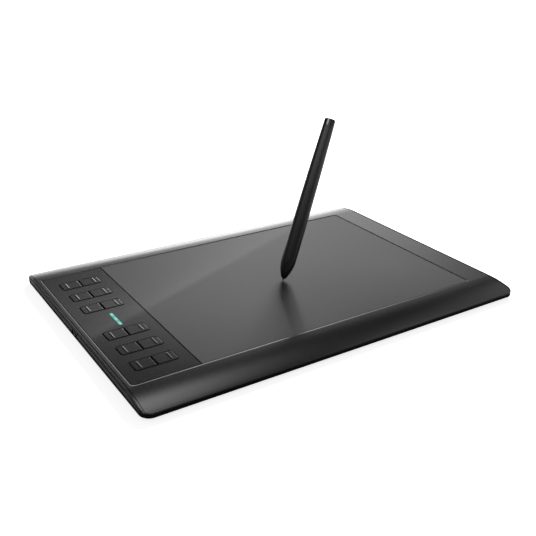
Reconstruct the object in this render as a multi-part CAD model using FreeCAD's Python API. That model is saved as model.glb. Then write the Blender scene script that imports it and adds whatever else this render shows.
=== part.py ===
import FreeCAD, Part
import math
import os

# A pen tablet for drawing, with its pen standing on it as when a line is being drawn.
# The tablet lies flat on a desk, its long side along X, and the user sits at -Y. The origin is the
# middle of the footprint at desk height. All lengths are millimetres.

V = FreeCAD.Vector
X_AXIS, Y_AXIS, Z_AXIS = V(1, 0, 0), V(0, 1, 0), V(0, 0, 1)

# Body
BODY_X = 360.0
BODY_Y = 240.0
RIM_Z = 10.0            # desk to the flat rim around the panel
UNDERSIDE_Z = 1.0       # desk to the flat underside, the height of the feet
CORNER_R = 8.0          # plan radius of the four corners
LIP_Z = 5.8             # where the curved front and rear aprons meet the upright edge
APRON_MARGIN = 1.2      # flat rim left between the panel and each apron
EDGE_ROUND = 0.6        # radius along the outline of the top
SEAM_Z = 4.7            # middle of the joint between the two covers
SEAM_GAP = 0.5
BELLY_Z = 2.2           # where the sloping edge of the underside meets the upright edge
BELLY_INSET = 8.0       # how far in the slope reaches the flat underside

# Covers
WALL = 1.6              # upright walls
APRON_WALL = 1.8        # skin under the aprons
PLATE = 1.7             # plate under the panel
FLOOR = 1.5             # bottom cover
SIDE_SKIN = 0.9         # the top's own edge, above a groove that follows it along both side walls
SIDE_GROOVE = 1.0
SIDE_GROOVE_DEPTH = 0.7
RIM_LINE_IN = 1.3       # side edge to the line that runs along the top and down the aprons
RIM_LINE_W = 1.1
RIM_LINE_D = 0.5

# Panel: a shallow recess that holds the key panel on the left and the drawing surface on the right
PANEL_LEFT = 5.5        # body edge to recess
PANEL_RIGHT = 26.8
PANEL_FRONT = 29.7
PANEL_REAR = 23.8
PANEL_R = 3.2
PANEL_DROP = 0.2        # rim down to the face of the inlays
PANEL_BEVEL_W = 0.8     # bevel around the recess
PANEL_BEVEL_H = 0.18
INLAY = 0.6             # thickness of the key panel and of the drawing surface
INLAY_GAP = 0.6         # gap between an inlay and the recess
STRIP_X = 55.0          # recess edge to the middle of the dividing groove
DIVIDER = 1.0           # width of the dividing groove
DIVIDER_R = 0.6         # corners of the inlays beside it

# Keys: six pairs in one column, with the light bar in the middle of the column
ROWS_PER_SIDE = 3
ROW_PITCH = 23.75
ROW_MID_Y = 2.7         # the middle of the column
WINDOW_X = 35.0         # opening for a pair of keys
WINDOW_Y = 14.0
WINDOW_R = 2.6
KEY_GAP = 0.6           # around a key, and half the gap between the two keys of a pair
KEY_PROUD = 0.3         # above the key panel
KEY_BEVEL_W = 0.6
KEY_BEVEL_H = 0.3
KEY_INNER_R = 0.5
KEY_TRAVEL = 0.4
FLANGE = 0.8            # thickness of the ledge that keeps a key in
FLANGE_OUT = 1.6        # width of the ledge
FLANGE_GAP = 0.1
RIDGE_L = 10.4          # raised ridge that the finger feels
RIDGE_W = 2.0
RIDGE_H = 0.35
RIDGE_CREST = 0.3
RIDGE_IN = 5.4          # from the outer end of the window to the ridge
STEM_R = 1.5            # stem that presses the dome
STEM_L = 0.4
STEM_GAP = 0.05
DOME_R = 3.6
DOME_TOP_R = 1.9
DOME_H = 0.7
DOME_T = 0.2

# Light bar in the key panel
LIGHT_X_SHIFT = 1.2     # right of the column's middle
LIGHT_Y = 1.2
LIGHT_L = 21.0
LIGHT_W = 2.6
LIGHT_GAP = 0.2
LIGHT_FOOT = 1.5        # ledge under the plate, each side
LIGHT_FOOT_T = 0.8
LED_COUNT = 3
LED_X, LED_Y, LED_H = 1.6, 3.2, 0.7

# Boards inside
SENSOR_MARGIN = 7.0     # from the edges of the drawing surface
SENSOR_T = 1.0
SHIELD_T = 0.5
SHIELD_BACK = 7.0       # strip of the sensor board left bare for the ribbon
BOARD_T = 1.2
BOARD_MARGIN = 1.6      # main board to the left wall
BOARD_END = 17.0        # main board beyond the middle of the end rows
RIBBON_W = 20.0
RIBBON_T = 0.3
RIBBON_LAND = 4.0       # length of ribbon that lies on each board
CHIP_H = 1.0
CHIPS = [(8.0, 30.0, 10.0, 10.0), (20.0, 30.0, 6.0, 5.0), (8.0, 12.0, 4.0, 6.5),
         (30.0, 14.0, 5.0, 3.2), (12.0, -30.0, 7.0, 7.0), (28.0, -28.0, 3.5, 2.0)]  # place and size

# USB socket in the left wall
PORT_Y = 2.0
PORT_Z = 5.0
PORT_W = 11.4
PORT_H = 4.8
SOCKET_W = 7.7
SOCKET_H = 3.9
SOCKET_L = 9.0
SOCKET_T = 0.35
SOCKET_INSET = 0.8      # mouth behind the wall's outer face
SOCKET_POCKET = 0.2     # room around the socket in the tray
SOCKET_CUT = 1.0        # cut lower corners of the mouth
TONGUE_W, TONGUE_T, TONGUE_L = 4.8, 0.9, 6.5
SOCKET_BASE = 1.2

# Screws, posts and feet
SCREW_R = 1.2
SCREW_HEAD_R = 2.3
SCREW_HEAD_H = 1.3
SCREW_FIT = 0.05        # radial clearance in the pilot hole
SCREW_HOLE_FIT = 0.3    # radial clearance in the plain hole
SCREW_SINK = 0.3        # head below the underside
SCREW_BITE = 2.4        # how far a case screw reaches into its boss
BOSS_R = 3.2
CASE_SCREW_IN_X = 15.0  # from the body's sides
CASE_SCREW_IN_Y = 13.0
BOARD_SCREW_R = 1.0
BOARD_SCREW_HEAD_R = 1.9
BOARD_SCREW_HEAD_H = 1.0
BOARD_SCREW_BITE = 2.6
BOARD_BOSS_R = 2.4
BOARD_SCREW_OUT = 20.0  # from the middle of the key column
RIB_T = 1.2
RIBS_LONG = 4           # running along X
RIBS_CROSS = 6          # running along Y
RIB_GAP = 0.1
LOCATOR_T = 1.0         # upright rib that locates the top cover
LOCATOR_GAP = 0.3
LOCATOR_TOP = 0.6       # above the seam
LOCATOR_IN_Y = 8.0
FOOT_L = 40.0
FOOT_W = 9.0
FOOT_SEAT = 0.4         # depth of the seat in the underside
FOOT_BEVEL = 0.3
FOOT_IN_X = 45.0
FOOT_IN_Y = 22.0

# Pen, measured along its own axis from the tip of the nib
PEN_L = 148.0
PEN_TIP_X = 8.6
PEN_TIP_Y = -8.5
PEN_HOVER = 0.3         # nib above the drawing surface
PEN_TILT = 29.15        # degrees from upright
PEN_HEADING = 25.1      # degrees from +X, the way it leans
PEN_R = 6.45
PEN_TOP_R = 4.95
NIB_OUT = 2.1           # nib beyond the nose
NIB_R = 0.75
NIB_TIP_R = 0.5
NIB_TIP_L = 1.5
NIB_TRAVEL = 0.4
NIB_FIT = 0.15
NOSE_OPEN_R = 1.8
NOSE_SHOULDER = 20.0    # where the nose reaches the full radius
NOSE_END = 22.0         # joint between the nose and the barrel
TAPER_FROM = 30.0       # where the barrel starts to narrow
PEN_WALL = 1.15
SPIGOT_L = 5.0
SPIGOT_FIT = 0.1
CAP_L = 6.0
CAP_ROUND = 0.6
CAP_SPIGOT_L = 6.0
JOINT_LINE = 0.2        # width and depth of the fine line at each joint of the pen
FERRITE_FROM, FERRITE_TO = 7.0, 24.0
FERRITE_R = 2.1
COIL_FROM, COIL_TO = 9.0, 20.0
COIL_R = 3.0
COIL_FIT = 0.05
NOSE_BORE_GAP = 0.25
PLUNGER_FROM, PLUNGER_TO = 24.1, 29.0
PLUNGER_R = 1.4
SENSOR_FROM, SENSOR_TO = 26.0, 32.0
FORCE_SENSOR_R = 3.1
PLUNGER_FIT = 0.1
FLOAT = 0.1             # spare travel behind the plunger
CHASSIS_FROM = 27.4
CHASSIS_END_GAP = 0.3   # chassis to cell
COLLAR_TO = 33.0
CHASSIS_R = 4.6
CHASSIS_T = 1.0
PEN_BOARD_Y = 1.4       # underside of the pen's board above the axis
PEN_BOARD_T = 0.8
PEN_BOARD_W = 7.0
PEN_BOARD_FROM = 35.0
PEN_BOARD_END = 2.0     # board to the end of the chassis
ROCKER_MID = 50.0
ROCKER_L = 23.6
ROCKER_W = 4.2
ROCKER_GAP = 0.3
ROCKER_PROUD = 0.6
ROCKER_UNDER = 4.5      # underside above the axis
ROCKER_WAIST_R = 14.0
ROCKER_WAIST_DEPTH = 0.3
ROCKER_PIN_Y = 3.05
ROCKER_PIN_R = 0.5
ROCKER_PIN_FIT = 0.05
ROCKER_PIN_L = 5.6
ROCKER_LEG = 1.2
EAR_T = 0.5
EAR_GAP = 0.15
SWITCH_OUT = 8.0        # from the rocker's pivot
SWITCH_W = 3.0
SWITCH_GAP = 0.4
BATTERY_R = 3.5
BATTERY_L = 37.7
BATTERY_END_GAP = 3.0   # cell to the cap's spigot
BATTERY_CAN = 0.6       # rim of the cell's end

# Derived places
BATTERY_TO = PEN_L - CAP_L - CAP_SPIGOT_L - BATTERY_END_GAP
BATTERY_FROM = BATTERY_TO - BATTERY_L
CHASSIS_TO = BATTERY_FROM - CHASSIS_END_GAP
PEN_BOARD_TO = CHASSIS_TO - PEN_BOARD_END
HALF_X = BODY_X / 2
HALF_Y = BODY_Y / 2
PX0, PX1 = -HALF_X + PANEL_LEFT, HALF_X - PANEL_RIGHT
PY0, PY1 = -HALF_Y + PANEL_FRONT, HALF_Y - PANEL_REAR
FACE_Z = RIM_Z - PANEL_DROP
RECESS_Z = FACE_Z - INLAY
PLATE_Z = RECESS_Z - PLATE
FLOOR_Z = UNDERSIDE_Z + FLOOR
DIVIDER_X = PX0 + STRIP_X
COLUMN_X = PX0 + STRIP_X / 2
ROW_STEPS = [n for n in range(ROWS_PER_SIDE, -ROWS_PER_SIDE - 1, -1) if n != 0]
ROW_Y = [ROW_MID_Y + n * ROW_PITCH for n in ROW_STEPS]
FLANGE_TOP = PLATE_Z - FLANGE_GAP
STEM_Z = FLANGE_TOP - FLANGE - STEM_L
BOARD_Z = STEM_Z - STEM_GAP - DOME_H
SENSOR_X0 = DIVIDER_X + SENSOR_MARGIN
SENSOR_X1 = PX1 - SENSOR_MARGIN
SENSOR_Y0, SENSOR_Y1 = PY0 + SENSOR_MARGIN, PY1 - SENSOR_MARGIN
SENSOR_Z = PLATE_Z - SENSOR_T
SHIELD_Z = SENSOR_Z - SHIELD_T
BOARD_X0 = -HALF_X + WALL + BOARD_MARGIN
BOARD_X1 = DIVIDER_X
POST_Z = SEAM_Z + SEAM_GAP / 2
CASE_SCREW_X = HALF_X - CASE_SCREW_IN_X
CASE_SCREW_Y = HALF_Y - CASE_SCREW_IN_Y
CASE_SCREWS = [(-CASE_SCREW_X, -CASE_SCREW_Y), (0, -CASE_SCREW_Y), (CASE_SCREW_X, -CASE_SCREW_Y),
               (-CASE_SCREW_X, CASE_SCREW_Y), (0, CASE_SCREW_Y), (CASE_SCREW_X, CASE_SCREW_Y),
               (CASE_SCREW_X, 0)]
BOARD_SCREW_STEP = ROWS_PER_SIDE - 0.5      # in the gaps between the outer two rows
BOARD_SCREWS = [(COLUMN_X + sx * BOARD_SCREW_OUT, ROW_MID_Y + sy * BOARD_SCREW_STEP * ROW_PITCH)
                for sx in (-1, 1) for sy in (-1, 1)]


def box(x0, x1, y0, y1, z0, z1):
    return Part.makeBox(x1 - x0, y1 - y0, z1 - z0, V(x0, y0, z0))


def rod(r, z0, z1, x=0.0, y=0.0):
    return Part.makeCylinder(r, z1 - z0, V(x, y, z0), Z_AXIS)


def outline(x0, x1, y0, y1, z, r_left, r_right=None):
    """Closed rectangle with rounded corners: one radius on the left, another on the right."""
    r_right = r_left if r_right is None else r_right
    k = math.sqrt(0.5)
    corners = [(x1, y0, r_right, 1, -1), (x1, y1, r_right, 1, 1),
               (x0, y1, r_left, -1, 1), (x0, y0, r_left, -1, -1)]
    arcs = []
    for cx, cy, r, sx, sy in corners:
        mx, my = cx - sx * r, cy - sy * r
        on_y, on_x = V(mx, cy, z), V(cx, my, z)
        middle = V(mx + sx * k * r, my + sy * k * r, z)
        first, last = (on_y, on_x) if sx == -sy else (on_x, on_y)
        arcs.append(Part.Arc(first, middle, last).toShape())
    edges = []
    for n, arc in enumerate(arcs):
        start = arcs[n - 1].Vertexes[-1].Point
        edges.append(Part.LineSegment(start, arc.Vertexes[0].Point).toShape())
        edges.append(arc)
    return Part.Wire(edges)


def slab(x0, x1, y0, y1, z0, z1, r_left, r_right=None):
    """Plate with rounded corners."""
    return Part.Face(outline(x0, x1, y0, y1, z0, r_left, r_right)).extrude(V(0, 0, z1 - z0))


def arc_height(run, drop, distance, inset):
    """Height below the rim of an apron that falls by drop over run, at a distance from its start."""
    radius = (run ** 2 + drop ** 2) / (2 * drop)
    return radius - math.sqrt((radius - inset) ** 2 - distance ** 2)


def across(inset):
    """Section of the body in the YZ plane, drawn in from the outside by inset and run along X."""
    drop = RIM_Z - LIP_Z
    front, rear = PY0 - APRON_MARGIN, PY1 + APRON_MARGIN
    run_f, run_r = front + HALF_Y, HALF_Y - rear
    reach_f, reach_r = run_f - inset, run_r - inset

    def on_front(d):
        return V(-HALF_X, front - d, RIM_Z - arc_height(run_f, drop, d, inset))

    def on_rear(d):
        return V(-HALF_X, rear + d, RIM_Z - arc_height(run_r, drop, d, inset))

    low_f, low_r = V(-HALF_X, front - reach_f, 0), V(-HALF_X, rear + reach_r, 0)
    edges = [Part.LineSegment(low_f, on_front(reach_f)).toShape(),
             Part.Arc(on_front(reach_f), on_front(reach_f / 2), on_front(0)).toShape(),
             Part.LineSegment(on_front(0), on_rear(0)).toShape(),
             Part.Arc(on_rear(0), on_rear(reach_r / 2), on_rear(reach_r)).toShape(),
             Part.LineSegment(on_rear(reach_r), low_r).toShape(),
             Part.LineSegment(low_r, low_f).toShape()]
    return Part.Face(Part.Wire(edges)).extrude(V(BODY_X, 0, 0))


def plan(inset, z0, z1):
    """The body's outline drawn in by inset."""
    r = CORNER_R - inset
    return slab(-HALF_X + inset, HALF_X - inset, -HALF_Y + inset, HALF_Y - inset, z0, z1, r)


def rim_edges(shape):
    """Edges between the top of the body and its upright walls."""
    found = []
    for edge in shape.Edges:
        ends = edge.Vertexes
        upright = abs(ends[0].X - ends[-1].X) + abs(ends[0].Y - ends[-1].Y) < 1e-6
        middle = edge.valueAt((edge.FirstParameter + edge.LastParameter) / 2)
        walls = [f for f in shape.ancestorsOfType(edge, Part.Face)
                 if abs(f.normalAt(*f.Surface.parameter(middle)).z) < 1e-6]
        if middle.z > LIP_Z - 1e-3 and not upright and len(walls) == 1:
            found.append(edge)
    return found


def port_cut():
    """The opening for the plug, through both covers."""
    return box(-HALF_X - 1, -HALF_X + WALL + LOCATOR_GAP + LOCATOR_T + 0.5,
               PORT_Y - PORT_W / 2, PORT_Y + PORT_W / 2, PORT_Z - PORT_H / 2, PORT_Z + PORT_H / 2)


def window(y, x0, x1, z0, z1, spare=0.0):
    """Prism of the opening for a pair of keys."""
    return slab(x0 - spare, x1 + spare, y - WINDOW_Y / 2 - spare, y + WINDOW_Y / 2 + spare,
                z0, z1, WINDOW_R + spare)


def light_slot(z0, z1, spare):
    x, half_l, half_w = COLUMN_X + LIGHT_X_SHIFT, LIGHT_L / 2 + spare, LIGHT_W / 2 + spare
    return slab(x - half_w, x + half_w, LIGHT_Y - half_l, LIGHT_Y + half_l, z0, z1, half_w * 0.98)


def top_cover():
    """Moulded shell: curved aprons, stepped recess, key windows, and bosses underneath."""
    low = SEAM_Z + SEAM_GAP / 2
    skin = across(0).common(plan(0, low, RIM_Z))
    skin = skin.makeFillet(EDGE_ROUND, rim_edges(skin))
    groove = across(SIDE_SKIN).cut(across(SIDE_SKIN + SIDE_GROOVE))
    rim_line = across(0).cut(across(RIM_LINE_D))
    for side in (-1, 1):
        x_side = sorted((side * HALF_X, side * (HALF_X - SIDE_GROOVE_DEPTH)))
        skin = skin.cut(groove.common(box(*x_side, -HALF_Y, HALF_Y, low, RIM_Z)))
        x_line = sorted(side * (HALF_X - RIM_LINE_IN - w) for w in (0, RIM_LINE_W))
        skin = skin.cut(rim_line.common(box(*x_line, -HALF_Y, HALF_Y, low, RIM_Z)))
    hollow = across(APRON_WALL).common(plan(WALL, 0, PLATE_Z))
    outer = across(APRON_WALL / 2).common(plan(WALL / 2, 0, RIM_Z))
    shell = skin.cut(hollow)
    for x, y in CASE_SCREWS:
        shell = shell.fuse(rod(BOSS_R, POST_Z, RIM_Z, x, y).common(outer))
        shell = shell.cut(rod(SCREW_R + SCREW_FIT, 0, POST_Z + SCREW_BITE + FLOAT, x, y))
    for x, y in BOARD_SCREWS:
        shell = shell.fuse(rod(BOARD_BOSS_R, BOARD_Z, RECESS_Z, x, y))
        tip = BOARD_Z + BOARD_SCREW_BITE + FLOAT
        shell = shell.cut(rod(BOARD_SCREW_R + SCREW_FIT, BOARD_Z, tip, x, y))
    recess = slab(PX0, PX1, PY0, PY1, RECESS_Z, RIM_Z + 1, PANEL_R)
    bevel = Part.makeLoft([outline(PX0, PX1, PY0, PY1, RIM_Z - PANEL_BEVEL_H, PANEL_R),
                           outline(PX0 - PANEL_BEVEL_W, PX1 + PANEL_BEVEL_W, PY0 - PANEL_BEVEL_W,
                                   PY1 + PANEL_BEVEL_W, RIM_Z, PANEL_R + PANEL_BEVEL_W)], True, True)
    shell = shell.cut(recess).cut(bevel)
    for y in ROW_Y:
        opening = window(y, COLUMN_X - WINDOW_X / 2, COLUMN_X + WINDOW_X / 2, PLATE_Z - 1, RIM_Z, KEY_GAP)
        shell = shell.cut(opening)
    shell = shell.cut(light_slot(PLATE_Z - 1, RIM_Z, LIGHT_GAP))
    return shell.cut(port_cut()).removeSplitter()


def tub(inset, lift):
    """Outside of the bottom cover, or its hollow when drawn in and lifted by the thickness."""
    low, high = UNDERSIDE_Z + lift, BELLY_Z + lift
    far = BELLY_INSET + inset
    r_low, r_high = CORNER_R - inset + BELLY_INSET / 4, CORNER_R - inset
    slope = Part.makeLoft([outline(-HALF_X + far, HALF_X - far, -HALF_Y + far, HALF_Y - far, low, r_low),
                           outline(-HALF_X + inset, HALF_X - inset, -HALF_Y + inset, HALF_Y - inset,
                                   high, r_high)], True, True)
    return slope.fuse(plan(inset, high, SEAM_Z - SEAM_GAP / 2 + lift))


def ring(inset_x, inset_y, thick, z0, z1):
    """Upright rib that runs round inside the body."""
    x, y = HALF_X - inset_x, HALF_Y - inset_y
    r = CORNER_R - WALL
    outside = slab(-x, x, -y, y, z0, z1, r)
    return outside.cut(slab(-x + thick, x - thick, -y + thick, y - thick, z0, z1, r - thick))


def feet_plan(z0, z1, spare=0.0):
    half_l, half_w = FOOT_L / 2 + spare, FOOT_W / 2 + spare
    pads = []
    for sx in (-1, 1):
        for sy in (-1, 1):
            x, y = sx * (HALF_X - FOOT_IN_X), sy * (HALF_Y - FOOT_IN_Y)
            pads.append(slab(x - half_l, x + half_l, y - half_w, y + half_w, z0, z1, half_w * 0.98))
    return pads


def bottom_cover():
    """Tray with a sloping edge, a grid of ribs, screw posts and seats for the feet."""
    tray = tub(0, 0).cut(tub(WALL, FLOOR))
    locator = ring(WALL + LOCATOR_GAP, LOCATOR_IN_Y, LOCATOR_T, FLOOR_Z - 0.1, SEAM_Z + LOCATOR_TOP)
    tray = tray.fuse(locator)
    top = SHIELD_Z - RIB_GAP
    x0 = SENSOR_X0 + SHIELD_BACK
    for n in range(RIBS_LONG):
        y = SENSOR_Y0 + (SENSOR_Y1 - SENSOR_Y0) * (n + 0.5) / RIBS_LONG
        tray = tray.fuse(box(x0, SENSOR_X1, y - RIB_T / 2, y + RIB_T / 2, FLOOR_Z - 0.1, top))
    for n in range(RIBS_CROSS):
        x = x0 + (SENSOR_X1 - x0) * (n + 0.5) / RIBS_CROSS
        tray = tray.fuse(box(x - RIB_T / 2, x + RIB_T / 2, SENSOR_Y0, SENSOR_Y1, FLOOR_Z - 0.1, top))
    for x, y in CASE_SCREWS:
        tray = tray.fuse(rod(BOSS_R, FLOOR_Z - 0.1, POST_Z, x, y))
        tray = tray.cut(rod(SCREW_R + SCREW_HOLE_FIT, 0, POST_Z + 1, x, y))
        tray = tray.cut(rod(SCREW_HEAD_R + SCREW_HOLE_FIT, 0, UNDERSIDE_Z + SCREW_SINK + SCREW_HEAD_H, x, y))
    for seat in feet_plan(0, UNDERSIDE_Z + FOOT_SEAT, FOOT_BEVEL / 2):
        tray = tray.cut(seat)
    half_pocket = SOCKET_W / 2 + SOCKET_POCKET
    tray = tray.cut(box(-HALF_X + WALL, socket_x1() + SOCKET_POCKET, PORT_Y - half_pocket,
                        PORT_Y + half_pocket, PORT_Z - SOCKET_H / 2 - SOCKET_POCKET, RIM_Z))
    return tray.cut(port_cut()).removeSplitter()


def rubber_feet():
    """Four pads glued into their seats."""
    pads = []
    for pad in feet_plan(0, UNDERSIDE_Z + FOOT_SEAT):
        rim = [e for e in pad.Edges if all(abs(v.Z) < 1e-6 for v in e.Vertexes)]
        pads.append(pad.makeChamfer(FOOT_BEVEL, rim))
    return Part.makeCompound(pads)


def drawing_surface():
    """Textured plastic sheet that the pen is drawn over."""
    r = PANEL_R - INLAY_GAP
    return slab(DIVIDER_X + DIVIDER / 2, PX1 - INLAY_GAP, PY0 + INLAY_GAP, PY1 - INLAY_GAP,
                RECESS_Z, FACE_Z, DIVIDER_R, r)


def key_panel():
    """Sheet around the keys, with their windows and the slot for the light bar."""
    r = PANEL_R - INLAY_GAP
    sheet = slab(PX0 + INLAY_GAP, DIVIDER_X - DIVIDER / 2, PY0 + INLAY_GAP, PY1 - INLAY_GAP,
                 RECESS_Z, FACE_Z, r, DIVIDER_R)
    for y in ROW_Y:
        sheet = sheet.cut(window(y, COLUMN_X - WINDOW_X / 2, COLUMN_X + WINDOW_X / 2, 0, RIM_Z))
    return sheet.cut(light_slot(0, RIM_Z, LIGHT_GAP))


def key(side, y):
    """One key of a pair: side is -1 for the left key and 1 for the right one."""
    outer = COLUMN_X + side * (WINDOW_X / 2 - KEY_GAP)
    inner = COLUMN_X + side * KEY_GAP
    x0, x1 = min(outer, inner), max(outer, inner)
    y0, y1 = y - WINDOW_Y / 2 + KEY_GAP, y + WINDOW_Y / 2 - KEY_GAP
    r_out = WINDOW_R - KEY_GAP
    radii = (r_out, KEY_INNER_R) if side < 0 else (KEY_INNER_R, r_out)
    top = FACE_Z + KEY_PROUD
    crown = slab(x0, x1, y0, y1, FLANGE_TOP - FLANGE, top, *radii)
    w = KEY_BEVEL_W
    low_wire = outline(x0, x1, y0, y1, top - KEY_BEVEL_H, *radii)
    high_wire = outline(x0 + w, x1 - w, y0 + w, y1 - w, top, *[max(r - w, 0.2) for r in radii])
    crown = crown.common(box(x0, x1, y0, y1, 0, top - KEY_BEVEL_H))
    crown = crown.fuse(Part.makeLoft([low_wire, high_wire], True, True))
    out_x = (FLANGE_OUT, 0.0) if side < 0 else (0.0, FLANGE_OUT)
    flange = box(x0 - out_x[0], x1 + out_x[1], y0 - FLANGE_OUT, y1 + FLANGE_OUT,
                 FLANGE_TOP - FLANGE, FLANGE_TOP)
    x_ridge = COLUMN_X + side * (WINDOW_X / 2 - RIDGE_IN)
    ridge = ridge_bar(x_ridge, y, top)
    stem = rod(STEM_R, STEM_Z, FLANGE_TOP - FLANGE, (x0 + x1) / 2, y)
    return crown.fuse([flange, ridge, stem]).removeSplitter()


def ridge_bar(x, y, z):
    """Low ridge with gentle flanks and a narrow crest."""
    half_w, half_l, crest = RIDGE_W / 2, RIDGE_L / 2, RIDGE_CREST / 2
    flank = half_w - crest
    wires = [outline(x - half_w, x + half_w, y - half_l, y + half_l, z, half_w * 0.9),
             outline(x - crest, x + crest, y - half_l + flank, y + half_l - flank, z + RIDGE_H, crest * 0.9)]
    return Part.makeLoft(wires, True, True)


def dome(side, y):
    """Snap dome under a key: a thin pressed disc that clicks when the stem pushes it."""
    x = COLUMN_X + side * (WINDOW_X / 2) / 2
    outside = [V(DOME_TOP_R, 0, DOME_H), V(0, 0, DOME_H)]
    points = [V(0, 0, DOME_H - DOME_T), V(DOME_TOP_R, 0, DOME_H - DOME_T), V(DOME_R - DOME_T, 0, 0),
              V(DOME_R, 0, 0)] + outside
    face = Part.Face(Part.makePolygon(points + [points[0]]))
    disc = face.revolve(V(0, 0, 0), Z_AXIS, 360)
    disc.translate(V(x, y, BOARD_Z))
    return disc


def light_guide():
    """Clear bar that carries the light of the lamps up to the key panel."""
    x, half_w, half_l = COLUMN_X + LIGHT_X_SHIFT, LIGHT_W / 2 + LIGHT_FOOT, LIGHT_L / 2 + LIGHT_FOOT
    foot = box(x - half_w, x + half_w, LIGHT_Y - half_l, LIGHT_Y + half_l, PLATE_Z - LIGHT_FOOT_T, PLATE_Z)
    low = BOARD_Z + LED_H + 0.2
    return light_slot(low, FACE_Z, 0.0).fuse(foot).removeSplitter()


def indicator_leds():
    x = COLUMN_X + LIGHT_X_SHIFT
    lamps = []
    for n in range(LED_COUNT):
        y = LIGHT_Y + LIGHT_L * ((n + 0.5) / LED_COUNT - 0.5)
        lamps.append(box(x - LED_X / 2, x + LED_X / 2, y - LED_Y / 2, y + LED_Y / 2, BOARD_Z, BOARD_Z + LED_H))
    return Part.makeCompound(lamps)


def main_board():
    """Board under the keys, notched for the USB socket and held by four screws."""
    y0, y1 = min(ROW_Y) - BOARD_END, max(ROW_Y) + BOARD_END
    board = slab(BOARD_X0, BOARD_X1, y0, y1, BOARD_Z - BOARD_T, BOARD_Z, 2.0)
    notch = SOCKET_W / 2
    board = board.cut(box(BOARD_X0 - 1, socket_x1(), PORT_Y - notch, PORT_Y + notch, 0, RIM_Z))
    for x, y in BOARD_SCREWS:
        board = board.cut(rod(BOARD_SCREW_R + 0.2, 0, RIM_Z, x, y))
    return board


def board_chips():
    """Controller, memory, regulator, crystal and flex connector on the underside of the board."""
    chips = []
    for dx, dy, size_x, size_y in CHIPS:
        x, y = BOARD_X0 + SOCKET_L + dx, PORT_Y + dy
        chips.append(box(x - size_x / 2, x + size_x / 2, y - size_y / 2, y + size_y / 2,
                         BOARD_Z - BOARD_T - CHIP_H, BOARD_Z - BOARD_T))
    return Part.makeCompound(chips)


def sensor_board():
    """Large board of crossed loops that senses the pen."""
    return slab(SENSOR_X0, SENSOR_X1, SENSOR_Y0, SENSOR_Y1, SENSOR_Z, PLATE_Z, 3.0)


def shield_plate():
    """Thin steel sheet behind the sensor board."""
    return slab(SENSOR_X0 + SHIELD_BACK, SENSOR_X1, SENSOR_Y0, SENSOR_Y1, SHIELD_Z, SENSOR_Z, 3.0)


def ribbon_cable():
    """Flat flex from the top of the main board to the bare strip under the sensor board."""
    z0, z1 = BOARD_Z, SENSOR_Z - RIBBON_T
    start, end = BOARD_X1 - RIBBON_LAND, SENSOR_X0 + RIBBON_LAND
    path = [(start, z0), (BOARD_X1 + 0.5, z0), (SENSOR_X0 - 0.5, z1), (end, z1)]
    low = [V(x, 0, z) for x, z in path]
    high = [V(x, 0, z + RIBBON_T) for x, z in reversed(path)]
    strip = Part.Face(Part.makePolygon(low + high + [low[0]])).extrude(V(0, RIBBON_W, 0))
    strip.translate(V(0, ROW_MID_Y - RIBBON_W / 2, 0))
    return strip


def socket_x0():
    return -HALF_X + SOCKET_INSET


def socket_x1():
    return socket_x0() + SOCKET_L


def socket_section(x, inset):
    """Outline of the socket's mouth, with its two lower corners cut."""
    w, h = SOCKET_W / 2 - inset, SOCKET_H / 2 - inset
    cut = SOCKET_CUT
    ring_points = [(-w, h), (w, h), (w, cut - h), (w - cut, -h), (cut - w, -h), (-w, cut - h)]
    points = [V(x, PORT_Y + a, PORT_Z + b) for a, b in ring_points]
    return Part.Face(Part.makePolygon(points + [points[0]]))


def usb_socket():
    """Folded metal shell, open at the left."""
    shell = socket_section(socket_x0(), 0).extrude(V(SOCKET_L, 0, 0))
    return shell.cut(socket_section(socket_x0() - 1, SOCKET_T).extrude(V(SOCKET_L + 2, 0, 0)))


def usb_insert():
    """Plastic base and contact tongue inside the socket's shell."""
    base_x = socket_x1() - SOCKET_BASE
    base = socket_section(base_x, SOCKET_T).extrude(V(SOCKET_BASE, 0, 0))
    tongue = box(base_x - TONGUE_L, base_x, PORT_Y - TONGUE_W / 2, PORT_Y + TONGUE_W / 2,
                 PORT_Z - TONGUE_T / 2, PORT_Z + TONGUE_T / 2)
    return base.fuse(tongue).removeSplitter()


def screw(x, y, z_head, head_r, head_h, shank_r, length):
    """Pan head below, shank pointing up, with a cross cut in the head."""
    body = rod(head_r, z_head - head_h, z_head, x, y).fuse(rod(shank_r, z_head, z_head + length, x, y))
    arm, depth, half = head_r * 0.6, head_h * 0.5, head_r * 0.13
    z0 = z_head - head_h
    body = body.cut(box(x - arm, x + arm, y - half, y + half, z0, z0 + depth))
    return body.cut(box(x - half, x + half, y - arm, y + arm, z0, z0 + depth)).removeSplitter()


def case_screws():
    z = UNDERSIDE_Z + SCREW_SINK + SCREW_HEAD_H
    length = POST_Z + SCREW_BITE - z
    return Part.makeCompound([screw(x, y, z, SCREW_HEAD_R, SCREW_HEAD_H, SCREW_R, length)
                              for x, y in CASE_SCREWS])


def board_screws():
    z = BOARD_Z - BOARD_T
    length = BOARD_T + BOARD_SCREW_BITE
    return Part.makeCompound([screw(x, y, z, BOARD_SCREW_HEAD_R, BOARD_SCREW_HEAD_H, BOARD_SCREW_R, length)
                              for x, y in BOARD_SCREWS])


def pen_turn():
    """Rotation from the pen's own axis, upright, to the way it leans. Its rocker faces the rear."""
    heading = FreeCAD.Rotation(Z_AXIS, PEN_HEADING)
    tilt = FreeCAD.Rotation(Y_AXIS, PEN_TILT)
    return heading * tilt * FreeCAD.Rotation(Z_AXIS, -PEN_HEADING)


def pen_place():
    return FreeCAD.Placement(V(PEN_TIP_X, PEN_TIP_Y, FACE_Z + PEN_HOVER), pen_turn())


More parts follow.
